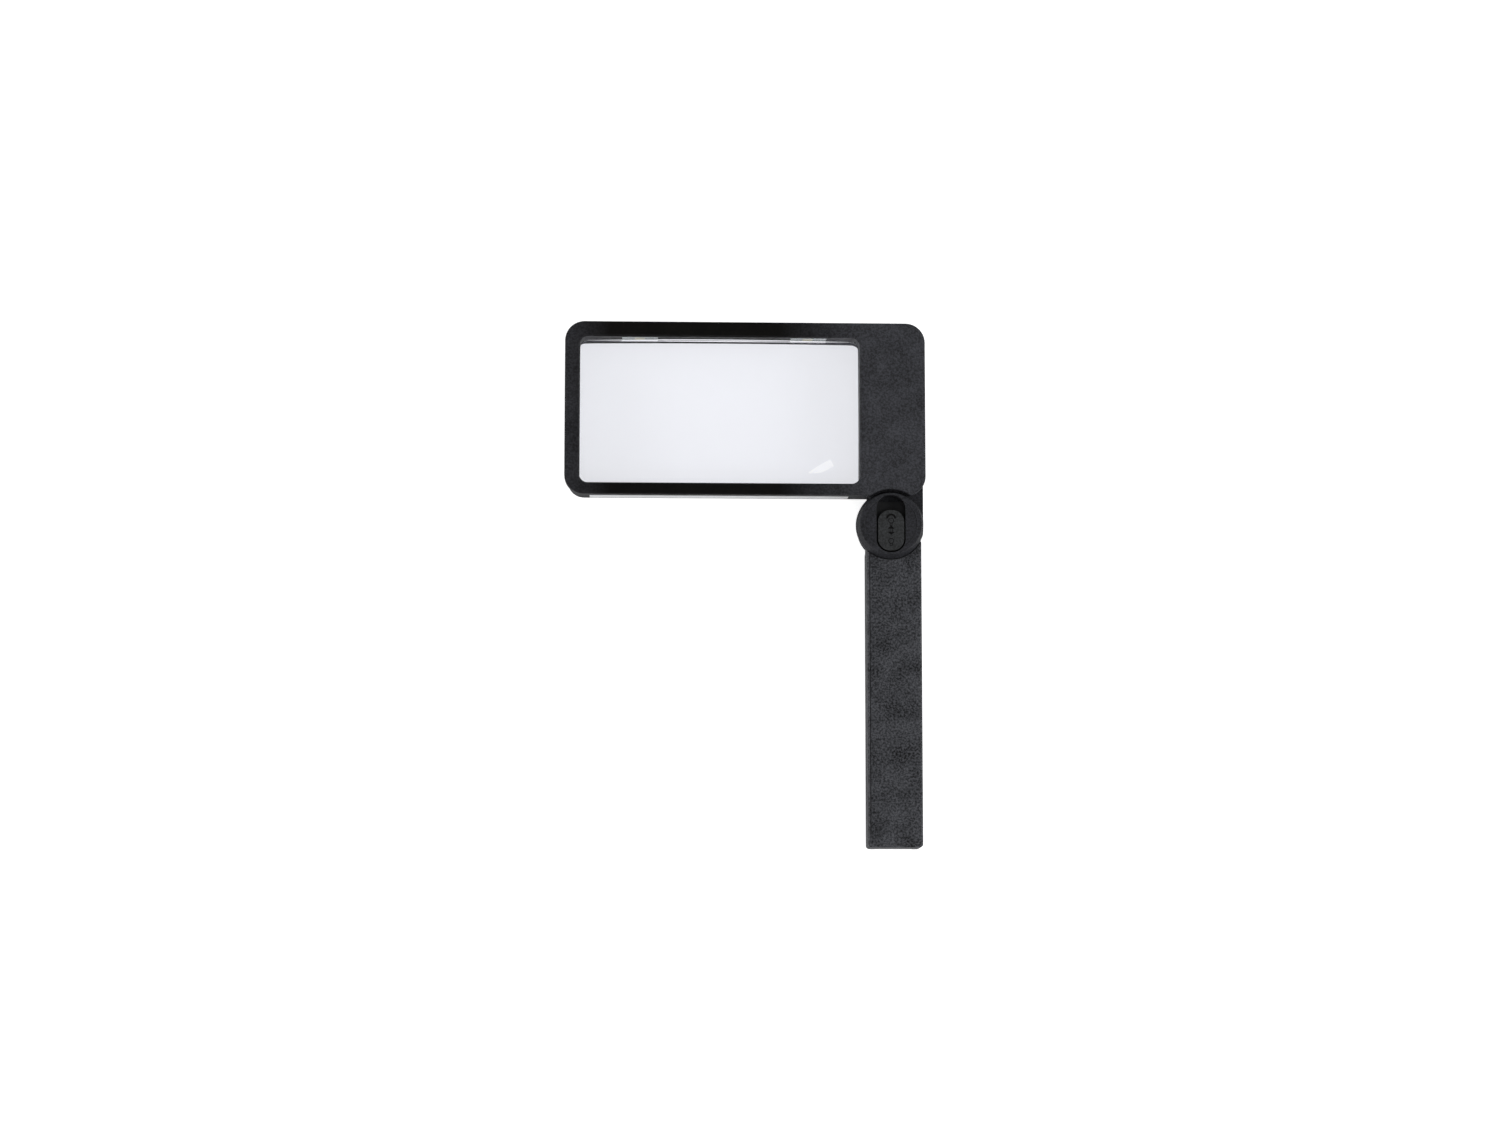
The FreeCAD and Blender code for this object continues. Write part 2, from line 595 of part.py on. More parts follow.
def make_frame_electrics():
    """Driver board with its resistor, and the two leads up to the light board."""
    derive("driver_x", "block_left + 6.2")
    derive("driver_y", "(lower_screws + upper_screws - driver_length) / 2")
    board = box("driver_plate", "driver_x - 5.4", "driver_y", "housing_floor + driver_rise",
                "driver_width", "driver_length", "1")
    pegs = []
    for number, rise in enumerate(("3", "driver_length - 3")):
        pegs.append(cylinder(f"driver_peg_{number}", "driver_x + 4.2", f"driver_y + {rise}",
                             "housing_floor", "1.2", "driver_rise"))
    subpart(fuse("driver", board, *pegs), "driver_board")
    barrel = cylinder("resistor_barrel", "driver_x - 2", "driver_y + 10", "housing_floor + 5.2", "1.1", "6",
                      "X")
    legs = [barrel]
    for number, place in enumerate(("driver_x - 3.2", "driver_x + 4.6")):
        legs.append(cylinder(f"resistor_leg_{number}", place, "driver_y + 10", "housing_floor + 3.5", "0.3",
                             "2"))
    legs.append(cylinder("resistor_wire", "driver_x - 3.5", "driver_y + 10", "housing_floor + 5.2", "0.3",
                         "8.4", "X"))
    subpart(fuse("resistor", *legs), "current_resistor")
    leads = []
    for number in range(2):
        x = f"driver_x - 4.7 + {1.1 * number}"
        level = f"housing_floor + 4 + {1.3 * number}"
        drop = cylinder(f"lead_drop_{number}", x, "driver_y + 14", "housing_floor + 3.5", "lead_radius",
                        f"{level} - housing_floor - 3.5")
        rise = cylinder(f"lead_rise_{number}", x, "driver_y + 14", level, "lead_radius",
                        "channel_high - 0.2 - driver_y - 14", "Y")
        run = cylinder(f"lead_run_{number}", "window_right - 0.8", "channel_high - 0.6", level, "0.4",
                       f"{x} - window_right + 0.8", "X")
        leads.append(fuse(f"lead_{number}", drop, rise, run))
    subpart(group("leads", *leads), "led_leads")


def make_screws():
    """Screws through the housing's back: four into the cover and two into the ear."""
    def screw(name, x, y, tip):
        head = cylinder(name + "_head", x, y, "0.3", "head_radius", "head_height")
        shank = cylinder(name + "_shank", x, y, "0.3", "screw_radius - 0.02", f"{tip} - 0.3")
        drive = box(name + "_drive", f"{x} - head_radius", f"{y} - 0.2", "0", "2 * head_radius", "0.4", "0.7")
        return cut(name, fuse(name + "_blank", head, shank), drive)

    for label, places, tip in (("frame_screws", BLOCK_SCREWS, "cover_under - 0.4"),
                               ("hub_screws", EAR_SCREWS, "ear_top - 0.8")):
        screws = [screw(f"{label}_{number}", x, y, tip) for number, (x, y) in enumerate(places)]
        subpart(group(label + "_set", *screws), label)


# ---- Hub ----

def make_hub_plate():
    """Disc with a sloped side and the switch slot, and the ear that passes under the cover."""
    body = new_body("hub")
    pad_disc(body, "foot", "0", "0", "hub_low", "handle_depth", "hub_base_radius")
    cone = body.newObject("PartDesign::AdditiveCone", "hub_slope")
    plane = [feature for feature in body.Origin.OriginFeatures if feature.Role == "XY_Plane"][0]
    cone.AttachmentSupport = [(plane, "")]
    cone.MapMode = "FlatFace"
    bind_base(cone, "AttachmentOffset", "0", "0", "handle_depth")
    bind(cone, Radius1="hub_base_radius", Radius2="hub_face_radius", Height="hub_top - handle_depth")
    pad_plate(body, "ear", "-ear_left", "-2", "hub_low", "ear_top", "ear_right + ear_left",
              "ear_height + 2", "1.5")
    cut_block(body, "side_flat", "ear_right", "-hub_base_radius", "hub_low - 1", "hub_top + 1",
              "hub_base_radius", "3 * hub_base_radius")
    cut_disc(body, "dish", "0", "0", "hub_top - dish_depth", "hub_top + 1", "dish_radius")
    cut_plate(body, "slot", "-knob_width / 2 - knob_gap", "slot_bottom", "hub_floor", "hub_top + 1",
              "knob_width + 2 * knob_gap", "slot_length", "knob_radius + knob_gap")
    cut_plate(body, "room", "-room_width / 2", "-room_length / 2", "hub_low - 1", "hub_roof",
              "room_width", "room_length", "2")
    cut_disc(body, "base_seat", "0", "0", "hub_low - 1", "hub_floor", "base_radius")
    for number, (x, y) in enumerate(EAR_SCREWS):
        cut_disc(body, f"ear_hole_{number}", x, y, "hub_low - 1", "ear_top - 0.6", "screw_radius")
    face = value("hub_top")
    limit = value("hub_face_radius")
    dress(body, "Fillet", "face_round", "0.3",
          lambda edge: edge_lies_at(edge, face) and edge.BoundBox.XMax > limit - 0.6)
    return subpart(body, "hub_front_plate")


def make_hub_inside():
    """Plate that closes the hub, contact board, spring contacts, pivot tube and friction washer."""
    base = new_body("hub_base")
    pad_disc(base, "disc", "0", "0", "hub_low", "hub_floor", "base_radius - close_fit")
    cut_disc(base, "tube_hole", "0", "0", "hub_low - 1", "hub_floor + 1", "pivot_radius")
    for name in ("inner", "outer"):
        cut_block(base, f"{name}_contact_slot", f"{name}_track - track_width / 2 - 0.15", "-2.2",
                  "hub_low - 1", "hub_floor + 1", "track_width + 0.3", "4.4")
    subpart(base, "hub_base_plate")
    board = new_body("switch_board")
    pad_plate(board, "plate", "0.2 - room_width / 2", "0.2 - room_length / 2", "hub_floor",
              "hub_floor + 0.6", "room_width - 0.4", "room_length - 0.4", "1.8")
    subpart(board, "switch_contact_board")
    for name in ("inner", "outer"):
        side = f"{name}_track - track_width / 2"
        foot = box(f"leaf_foot_{name}", side, "-2", "tongue_top + contact_rise", "track_width", "4",
                   "leaf_thickness")
        stem = box(f"leaf_stem_{name}", side, "1.2", "tongue_top + contact_rise", "track_width", "0.8",
                   "hub_floor - tongue_top - contact_rise")
        subpart(fuse(f"leaf_{name}", foot, stem), f"hinge_contact_{name}")
    tube = cylinder("tube_outer", "0", "0", "0.8", "pivot_radius", "hub_floor - 0.8")
    bore = cylinder("tube_bore", "0", "0", "0", "pivot_bore", "hub_top")
    subpart(cut("tube", tube, bore), "pivot_tube")
    washer = new_body("washer")
    pad_disc(washer, "ring", "0", "0", "cheek_thickness + 0.1 - washer_thickness", "cheek_thickness + 0.1",
             "washer_radius", "pivot_radius + 0.3")
    subpart(washer, "hinge_friction_washer")


def draw_polygon(item, *corners):
    """A closed outline through corners that all lie right of and above the sketch's origin."""
    points = [Vector(value(x), value(y), 0) for x, y in corners]
    for side, point in enumerate(points):
        item.addGeometry(Part.LineSegment(point, points[(side + 1) % len(points)]), False)
    for side, (x, y) in enumerate(corners):
        item.addConstraint(Sketcher.Constraint("Coincident", side, 2, (side + 1) % len(corners), 1))
        constrain(item, f"across_{side}", x, "DistanceX", -1, 1, side, 1)
        constrain(item, f"along_{side}", y, "DistanceY", -1, 1, side, 1)


def draw_half_ring(item, outer, inner):
    """The upper half of a ring about the sketch's origin."""
    half_turn = 3.141592653589793
    for radius in (outer, inner):
        circle = Part.Circle(Vector(0, 0, 0), Vector(0, 0, 1), value(radius))
        item.addGeometry(Part.ArcOfCircle(circle, 0, half_turn), False)
    for way in (-1, 1):
        item.addGeometry(Part.LineSegment(Vector(way * value(outer), 0, 0), Vector(way * value(inner), 0, 0)),
                         False)
    for arc, radius in enumerate((outer, inner)):
        item.addConstraint(Sketcher.Constraint("Coincident", arc, 3, -1, 1))
        item.addConstraint(Sketcher.Constraint("PointOnObject", arc, 1, -1))
        item.addConstraint(Sketcher.Constraint("PointOnObject", arc, 2, -1))
        item.addConstraint(Sketcher.Constraint("Coincident", 2, arc + 1, arc, 2))
        item.addConstraint(Sketcher.Constraint("Coincident", 3, arc + 1, arc, 1))
        constrain(item, f"radius_{arc}", radius, "Radius", arc)


def cut_lamp_sign(body, name, centre):
    """Outline of a lamp: a ring, two lines for its neck and one for its cap."""
    low = "knob_face - sign_depth"
    cut_disc(body, name + "_glass", "0", centre, low, "knob_face", "bulb_radius", "bulb_radius - sign_line")
    for side, x in (("left", "-0.5 * bulb_radius"), ("right", "0.5 * bulb_radius - sign_line")):
        cut_block(body, f"{name}_neck_{side}", x, f"{centre} - 1.5 * bulb_radius", low, "knob_face",
                  "sign_line", "0.65 * bulb_radius")
    cut_block(body, name + "_cap", "-0.5 * bulb_radius", f"{centre} - 1.85 * bulb_radius", low, "knob_face",
              "bulb_radius", "sign_line")


def make_switch():
    """Sliding knob with engraved signs, and the bridge contact under it."""
    body = new_body("knob")
    pad_plate(body, "stem", "-knob_width / 2", "knob_bottom", "hub_roof - 0.3", "knob_face",
              "knob_width", "knob_length", "knob_radius")
    pad_plate(body, "flange", "-knob_flange / 2", "knob_middle - 4.5", "hub_roof - 1.1", "hub_roof - 0.2",
              "knob_flange", "9", "1")
    dress(body, "Fillet", "knob_round", "0.3", lambda edge: edge_lies_at(edge, value("knob_face")))
    low = "knob_face - sign_depth"
    cut_lamp_sign(body, "plain_lamp", "knob_middle - sign_step + 0.4")
    cut_lamp_sign(body, "lit_lamp", "knob_middle + sign_step - 0.7")
    glow = sketch(body, "glow_outline", "0", "knob_middle + sign_step", "knob_face")
    draw_half_ring(glow, "glow_radius", "glow_radius - glow_width")
    extrude(body, "Pocket", "glow", glow, "sign_depth")
    for side, x in (("left", "-0.5"), ("right", "0.5 - sign_line")):
        cut_block(body, "arrow_line_" + side, x, "knob_middle - arrow_height / 2 + arrow_head", low,
                  "knob_face", "sign_line", "arrow_height - 2 * arrow_head")
    for name, way in (("up", "1"), ("down", "-1")):
        head = sketch(body, f"arrow_{name}_outline", "-knob_width / 2", "knob_bottom", "knob_face")
        foot = f"knob_length / 2 + {way} * (arrow_height / 2 - arrow_head)"
        draw_polygon(head, ("(knob_width - arrow_width) / 2", foot), ("(knob_width + arrow_width) / 2", foot),
                     ("knob_width / 2", f"knob_length / 2 + {way} * arrow_height / 2"))
        extrude(body, "Pocket", "arrow_" + name, head, "sign_depth")
    subpart(body, "switch_knob")
    bar = box("bridge_bar", "-4", "knob_middle - 2", "hub_roof - 1.4", "8", "4", "leaf_thickness")
    feet = [bar]
    for side, x in (("left", "-3.6"), ("right", "2.8")):
        feet.append(box(f"bridge_foot_{side}", x, "knob_middle - 0.5", "hub_floor + 0.65", "0.8", "1",
                        "hub_roof - 1.2 - hub_floor - 0.65"))
    subpart(fuse("bridge", *feet), "switch_bridge_contact")


# ---- Handle ----

HANDLE_SCREWS = ("-4.6", "3.9")
SCREW_ROW = "-contact_start + 2.4"


def lead_channels(body, low, high):
    """Slots in the neck for the two lead strips."""
    cut_block(body, "inner_lead_slot", "0.4", "-contact_start - 1", low, high, "1.4",
              "contact_start + 1 - 5")
    cut_block(body, "outer_lead_slot", "5.8", "-contact_start - 1", low, high, "1.4",
              "contact_start + 1 - 3.6")


def make_handle_front():
    body = new_body("grip_front")
    pad_plate(body, "shell", "-handle_left", "-handle_length", "handle_parting", "handle_depth",
              "handle_width", "handle_length - neck_top", "handle_corner")
    face = value("handle_depth")
    dress(body, "Chamfer", "front_bevel", "handle_bevel", lambda edge: edge_lies_at(edge, face))
    cut_block(body, "face_groove", "groove_inset - handle_left", "-handle_length + 3 * end_bevel",
              "handle_depth - groove_depth", "handle_depth", "groove_width",
              "handle_length - 3 * end_bevel - neck_top")
    cut_disc(body, "hub_room", "0", "0", "tongue_top", "handle_depth + 1", "grip_radius")
    pad_disc(body, "tongue", "0", "0", "handle_parting", "tongue_top", "tongue_radius")
    cut_disc(body, "pivot_hole", "0", "0", "handle_parting - 1", "tongue_top + 1",
             "pivot_radius + pivot_fit")
    cut_block(body, "hollow", "-handle_left + handle_wall", "-hollow_end", "handle_parting - 1",
              "hollow_top", "handle_width - 2 * handle_wall", "hollow_end - contact_start + 0.5")
    for side, place in (("left", "handle_middle - cell_radius - cell_play - rib_thickness"),
                        ("right", "handle_middle + cell_radius + cell_play")):
        pad_block(body, side + "_rib", place, "-hollow_end + 7", "handle_parting", "hollow_top + 0.1",
                  "rib_thickness", "hollow_end - 7 - contact_start - 1")
    lead_channels(body, "handle_parting - 1", "tongue_top - 0.3")
    for name in ("inner", "outer"):
        cut_disc(body, name + "_ring_groove", "0", "0", "tongue_top - leaf_thickness - 0.05",
                 "tongue_top + 1", f"{name}_track + track_width / 2 + close_fit",
                 f"{name}_track - track_width / 2 - close_fit")
    for number, x in enumerate(HANDLE_SCREWS):
        cut_disc(body, f"screw_hole_{number}", x, SCREW_ROW, "handle_parting - 1", "hollow_top - 1.2",
                 "screw_radius")
    slope = value("end_slope")
    wedge = body.newObject("PartDesign::SubtractiveBox", "grip_end_bevel")
    plane = [feature for feature in body.Origin.OriginFeatures if feature.Role == "XY_Plane"][0]
    wedge.AttachmentSupport = [(plane, "")]
    wedge.MapMode = "FlatFace"
    wedge.AttachmentOffset = Placement(Vector(), Rotation(Vector(1, 0, 0), slope))
    bind_base(wedge, "AttachmentOffset", "-handle_left - 1",
              "end_bevel - handle_length - 2 * end_bevel * cos(end_slope)",
              "handle_depth - 2 * end_bevel * sin(end_slope)")
    bind(wedge, Length="handle_width + 2", Width="4 * end_bevel", Height="2 * end_bevel")
    return subpart(body, "handle_front_shell")


def make_handle_rear():
    body = new_body("grip_rear")
    pad_plate(body, "shell", "-handle_left", "-handle_length", "0", "handle_parting", "handle_width",
              "handle_length - neck_top", "handle_corner")
    cut_disc(body, "cheek_room", "0", "0", "-1", "tongue_low", "grip_radius")
    pad_disc(body, "tongue", "0", "0", "tongue_low", "handle_parting", "tongue_radius")
    cut_disc(body, "pivot_hole", "0", "0", "-1", "handle_parting + 1", "pivot_radius + pivot_fit")
    cut_block(body, "hollow", "-handle_left + handle_wall", "-hollow_end", "door_thickness + door_gap",
              "handle_parting + 1", "handle_width - 2 * handle_wall",
              "hollow_end - contact_start + 0.5")
    cut_block(body, "door_way", "handle_middle - door_width / 2 - door_gap", "-handle_length - 1", "-1",
              "door_thickness + door_gap", "door_width + 2 * door_gap",
              "handle_length + 1 - door_start + door_gap")
    cut_block(body, "wing_way", "handle_middle - door_width / 2 - door_wing - door_gap",
              "-handle_length - 1", "door_lip", "door_thickness + door_gap",
              "door_width + 2 * door_wing + 2 * door_gap", "handle_length + 1 - door_start + door_gap")
    for number, x in enumerate(HANDLE_SCREWS):
        cut_disc(body, f"screw_hole_{number}", x, SCREW_ROW, "-1", "handle_parting + 1",
                 "screw_radius + close_fit")
        cut_disc(body, f"head_seat_{number}", x, SCREW_ROW, "-1", "head_height + 0.3",
                 "head_radius + close_fit")
    return subpart(body, "handle_rear_shell")


def make_handle_inside():
    """Two cells in line, their contacts, the rings of the hinge and the strips that join them."""
    for number, name in enumerate(("upper", "lower")):
        start = f"contact_start + 0.2 + {number} * (cell_length + nub_length)"
        can = cylinder(f"cell_can_{name}", "handle_middle",
                       f"-({start}) - nub_length - cell_length", "cell_level", "cell_radius",
                       "cell_length", "Y")
        nub = cylinder(f"cell_nub_{name}", "handle_middle", f"-({start}) - nub_length", "cell_level",
                       "nub_radius", "nub_length", "Y")
        subpart(fuse(f"cell_{name}", can, nub), f"battery_cell_{name}")
    derive("spring_start", "contact_start + 0.2 + 2 * (cell_length + nub_length)")
    derive("spring_plate", "hollow_end - 0.4")
    coils = [box("spring_back", "handle_middle - 4.5", "-spring_plate - 0.4", "cell_level - 4", "9", "0.4",
                 "8")]
    for number in range(4):
        ring = doc.addObject("Part::Torus", f"spring_turn_{number}")
        ring.Placement = Placement(Vector(), Rotation(Vector(1, 0, 0), 90))
        bind(ring, Radius1=f"2.2 + 0.45 * {number}", Radius2="0.3")
        bind_base(ring, "Placement", "handle_middle",
                  f"-spring_start - 0.4 - (spring_plate - spring_start - 0.5) * {number} / 3", "cell_level")
        coils.append(ring)
    for number in range(3):
        coils.append(cylinder(f"spring_link_{number}", f"handle_middle + 2.4 + 0.45 * {number}",
                              f"-spring_start - 0.4 - (spring_plate - spring_start - 0.5) * {number + 1} / 3",
                              "cell_level", "0.3", "(spring_plate - spring_start - 0.5) / 3", "Y"))
    subpart(fuse("spring", *coils), "battery_spring")
    subpart(box("positive_plate", "handle_middle - 3.5", "-contact_start - 0.2", "cell_level - 3.5",
                "7", "0.4", "7"), "positive_contact")
    for name in ("inner", "outer"):
        ring = new_body(f"ring_{name}")
        pad_disc(ring, "band", "0", "0", "tongue_top - leaf_thickness", "tongue_top",
                 f"{name}_track + track_width / 2", f"{name}_track - track_width / 2")
        subpart(ring, f"contact_ring_{name}")
    derive("lead_level", "tongue_top - 0.9")
    first = box("inner_strip", "0.6", "-contact_start + 0.2", "lead_level", "1", "contact_start - 5.4", "0.3")
    tab = box("inner_strip_tab", "0.6", "-5.6", "lead_level", "1", "0.4", "0.6")
    subpart(fuse("inner_lead", first, tab), "positive_lead_strip")
    runs = [box("outer_strip", "6", "-contact_start + 0.2 - 1.2", "lead_level", "1",
                "contact_start - 0.2 + 1.2 - 4.2", "0.3"),
            box("outer_strip_tab", "6", "-4.6", "lead_level", "1", "0.4", "0.6"),
            box("outer_strip_cross", "6", "-contact_start + 0.2 - 1.2", "lead_level",
                "handle_right - handle_wall - 0.3 - 6", "0.6", "0.3"),
            box("outer_strip_run", "handle_right - handle_wall - 1.1", "-spring_plate", "lead_level", "0.8",
                "spring_plate - contact_start - 0.4", "0.3"),
            box("outer_strip_end", "handle_middle + 4.5", "-spring_plate - 0.4", "lead_level",
                "handle_right - handle_wall - 0.3 - handle_middle - 4.5", "1", "0.3")]
    subpart(fuse("outer_lead", *runs), "negative_lead_strip")
    screws = []
    for number, x in enumerate(HANDLE_SCREWS):
        head = cylinder(f"handle_screw_head_{number}", x, SCREW_ROW, "0.3", "head_radius", "head_height")
        shank = cylinder(f"handle_screw_shank_{number}", x, SCREW_ROW, "0.3", "screw_radius - 0.02",
                         "hollow_top - 1.8")
        drive = box(f"handle_screw_drive_{number}", f"{x} - head_radius", f"{SCREW_ROW} - 0.2", "0",
                    "2 * head_radius", "0.4", "0.7")
        screws.append(cut(f"handle_screw_{number}", fuse(f"handle_screw_blank_{number}", head, shank), drive))
    subpart(group("handle_screw_set", *screws), "handle_screws")


def make_door():
    """Battery door that slides out past the handle's end, with ridges for the thumb."""
    body = new_body("door")
    pad_block(body, "panel", "handle_middle - door_width / 2", "-handle_length + 0.05", "0",
              "door_thickness", "door_width", "handle_length - door_start - 0.05")
    pad_block(body, "wings", "handle_middle - door_width / 2 - door_wing", "-handle_length + 0.05",
              "door_lip + door_gap", "door_thickness", "door_width + 2 * door_wing",
              "handle_length - door_start - 0.05")
    for number in range(6):
        cut_block(body, f"ridge_{number}", "handle_middle - 4", f"-handle_length + 8 + {1.6 * number}",
                  "-0.1", "0.35", "8", "0.8")
    return subpart(body, "battery_door")


make_front_cover()
make_rear_housing()
make_lens()
make_edge_strip()
make_lights()
make_frame_electrics()
make_screws()
make_hub_plate()
make_hub_inside()
make_switch()
make_handle_front()
make_handle_rear()
make_handle_inside()
make_door()
doc.recompute()

for item in doc.Objects:
    if "Invalid" in item.State or "Error" in item.State:
        raise RuntimeError(f"{item.Name} failed: {item.State}")
    if item.TypeId == "PartDesign::Pocket":
        if item.Shape.Volume > item.BaseFeature.Shape.Volume - 0.0001:
            raise RuntimeError(f"{item.Name} cuts nothing")
for item in subparts:
    if item.Shape.isNull() or not item.Shape.isValid():
        item.Shape.check()
        raise RuntimeError(f"{item.Label} has no sound shape")

os.makedirs("parts", exist_ok=True)
for item in subparts:
    item.Shape.exportStep(f"parts/{item.Label}.step")
    print(item.Label, len(item.Shape.Solids), round(item.Shape.Volume, 1))
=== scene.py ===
import bmesh
import bpy
from mathutils import Matrix, Vector


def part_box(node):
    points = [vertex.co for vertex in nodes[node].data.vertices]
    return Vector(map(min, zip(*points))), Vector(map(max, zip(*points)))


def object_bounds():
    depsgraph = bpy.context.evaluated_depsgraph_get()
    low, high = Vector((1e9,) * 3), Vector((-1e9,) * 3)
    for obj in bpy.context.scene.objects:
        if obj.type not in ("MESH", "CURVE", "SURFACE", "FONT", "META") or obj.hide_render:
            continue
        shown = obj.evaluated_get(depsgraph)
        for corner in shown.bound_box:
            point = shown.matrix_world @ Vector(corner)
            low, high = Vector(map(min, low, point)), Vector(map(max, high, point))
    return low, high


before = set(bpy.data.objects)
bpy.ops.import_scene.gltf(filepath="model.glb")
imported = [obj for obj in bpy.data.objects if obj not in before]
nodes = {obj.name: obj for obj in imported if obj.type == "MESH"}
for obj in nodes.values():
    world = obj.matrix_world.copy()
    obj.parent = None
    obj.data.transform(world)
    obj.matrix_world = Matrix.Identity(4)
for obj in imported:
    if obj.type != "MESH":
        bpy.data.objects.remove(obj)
cad_low, cad_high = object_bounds()

# ---------------------------------------------------------------------------------------------------
# Front cover and rear housing.  Two mouldings in black ABS, screwed together, the cover stepping out
# over the housing.  The tool is lightly spark-eroded, so the faces are satin with a fine even grain
# and a faint random haze of handling; the frame's middle is painted darker as painted shade, and only its
# two ends keep the lighter colours.


def shader_group(name, inputs, outputs):
    """An empty shader node group with named float inputs and outputs."""
    tree = bpy.data.node_groups.new(name, "ShaderNodeTree")
    for label, number in inputs.items():
        socket = tree.interface.new_socket(label, in_out="INPUT", socket_type="NodeSocketFloat")
        socket.default_value = number
    for label, kind in outputs.items():
        tree.interface.new_socket(label, in_out="OUTPUT", socket_type=f"NodeSocket{kind}")
    return tree, add(tree, "NodeGroupInput"), add(tree, "NodeGroupOutput")


def add(tree, kind, operation=None, **values):
    """A node with its inputs set: a number or colour is stored and a socket is linked.  Inputs that
    share one label are given by their place, as at0 and at1."""
    item = tree.nodes.new(kind)
    if operation:
        item.operation = operation
    for label, given in values.items():
        numbered = label.startswith("at") and label[2:].isdigit()
        socket = item.inputs[int(label[2:]) if numbered else label.replace("_", " ")]
        if isinstance(given, bpy.types.NodeSocket):
            tree.links.new(given, socket)
        else:
            socket.default_value = given
    return item


def make_grain_group():
    """Fine grain of a spark-eroded mould: a height, and how pale each grain looks, evenly about a half."""
    tree, given, result = shader_group(
        "moulded_grain", {"Scale": 1500.0}, {"Height": "Float", "Fleck": "Float"})
    place = add(tree, "ShaderNodeTexCoord").outputs["Object"]
    cloud = add(tree, "ShaderNodeTexNoise", Vector=place, Scale=given.outputs["Scale"], Detail=3.0,
                Roughness=0.7)
    cells = add(tree, "ShaderNodeTexVoronoi", Vector=place, Scale=given.outputs["Scale"], Randomness=1.0)
    pits = add(tree, "ShaderNodeMath", "MULTIPLY", at0=cells.outputs["Distance"], at1=0.6)
    height = add(tree, "ShaderNodeMath", "ADD", at0=cloud.outputs["Fac"], at1=pits.outputs[0])
    fleck = add(tree, "ShaderNodeMapRange", Value=cloud.outputs["Fac"], From_Min=0.41, From_Max=0.60)
    tree.links.new(height.outputs[0], result.inputs["Height"])
    tree.links.new(fleck.outputs["Result"], result.inputs["Fleck"])
    return tree


def make_handling_group():
    """What use leaves on a dark plastic: soft hazy patches, and edges rubbed smoother."""
    tree, given, result = shader_group(
        "handling", {"Edge Width": 0.0004, "Patch Scale": 130.0}, {"Haze": "Float", "Rub": "Float"})
    place = add(tree, "ShaderNodeTexCoord").outputs["Object"]
    patch = add(tree, "ShaderNodeTexNoise", Vector=place, Scale=given.outputs["Patch Scale"], Detail=4.0,
                Roughness=0.55, Distortion=0.4)
    haze = add(tree, "ShaderNodeMapRange", Value=patch.outputs["Fac"], From_Min=0.3, From_Max=0.7)
    softened = add(tree, "ShaderNodeBevel", Radius=given.outputs["Edge Width"])
    softened.samples = 4
    facing = add(tree, "ShaderNodeVectorMath", "DOT_PRODUCT", at0=softened.outputs["Normal"],
                 at1=add(tree, "ShaderNodeNewGeometry").outputs["Normal"])
    bent = add(tree, "ShaderNodeMapRange", Value=facing.outputs["Value"], From_Min=0.995, From_Max=0.86)
    broken = add(tree, "ShaderNodeTexNoise", Vector=place, Scale=420.0, Detail=3.0, Roughness=0.6)
    worn = add(tree, "ShaderNodeMapRange", Value=broken.outputs["Fac"], From_Min=0.3, From_Max=0.62)
    rub = add(tree, "ShaderNodeMath", "MULTIPLY", at0=bent.outputs["Result"], at1=worn.outputs["Result"])
    tree.links.new(haze.outputs["Result"], result.inputs["Haze"])
    tree.links.new(rub.outputs[0], result.inputs["Rub"])
    return tree


def use_group(tree, group, **values):
    item = tree.nodes.new("ShaderNodeGroup")
    item.node_tree = group
    for label, number in values.items():
        item.inputs[label.replace("_", " ")].default_value = number
    return item


def new_material(name, **sockets):
    """A material with its Principled shader's own sockets set."""
    material = bpy.data.materials.new(name)
    material.use_nodes = True
    shader = material.node_tree.nodes["Principled BSDF"]
    for label, number in sockets.items():
        shader.inputs[label.replace("_", " ")].default_value = number
    return material, material.node_tree, shader


def blend_colour(tree, factor, first, second):
    mix = tree.nodes.new("ShaderNodeMix")
    mix.data_type = "RGBA"
    for socket, given in ((mix.inputs[0], factor), (mix.inputs[6], first), (mix.inputs[7], second)):
        if isinstance(given, bpy.types.NodeSocket):
            tree.links.new(given, socket)
        else:
            socket.default_value = given
    return mix.outputs[2]


def along(tree, axis):
    """How far along an axis a point of the piece lies, in metres."""
    place = add(tree, "ShaderNodeTexCoord").outputs["Object"]
    return add(tree, "ShaderNodeSeparateXYZ", Vector=place).outputs[axis]


def dress(name, material):
    """Gives a CAD node a finished material."""
    mesh = nodes[name].data
    mesh.materials.clear()
    mesh.materials.append(material)


grain_group = make_grain_group()
handling_group = make_handling_group()
left_shade_fade = (-0.100, -0.116)  # X where the painted shade along the middle starts to give way at the left end, and where it has given way most
right_shade_fade = (-0.040, -0.008)
left_shade_fade_strength = 0.62
grain_share, haze_share = 0.65, 0.35
# Near-black painted shade for whatever lies below a given level.
recess_shade_colour = (0.002, 0.002, 0.002, 1)


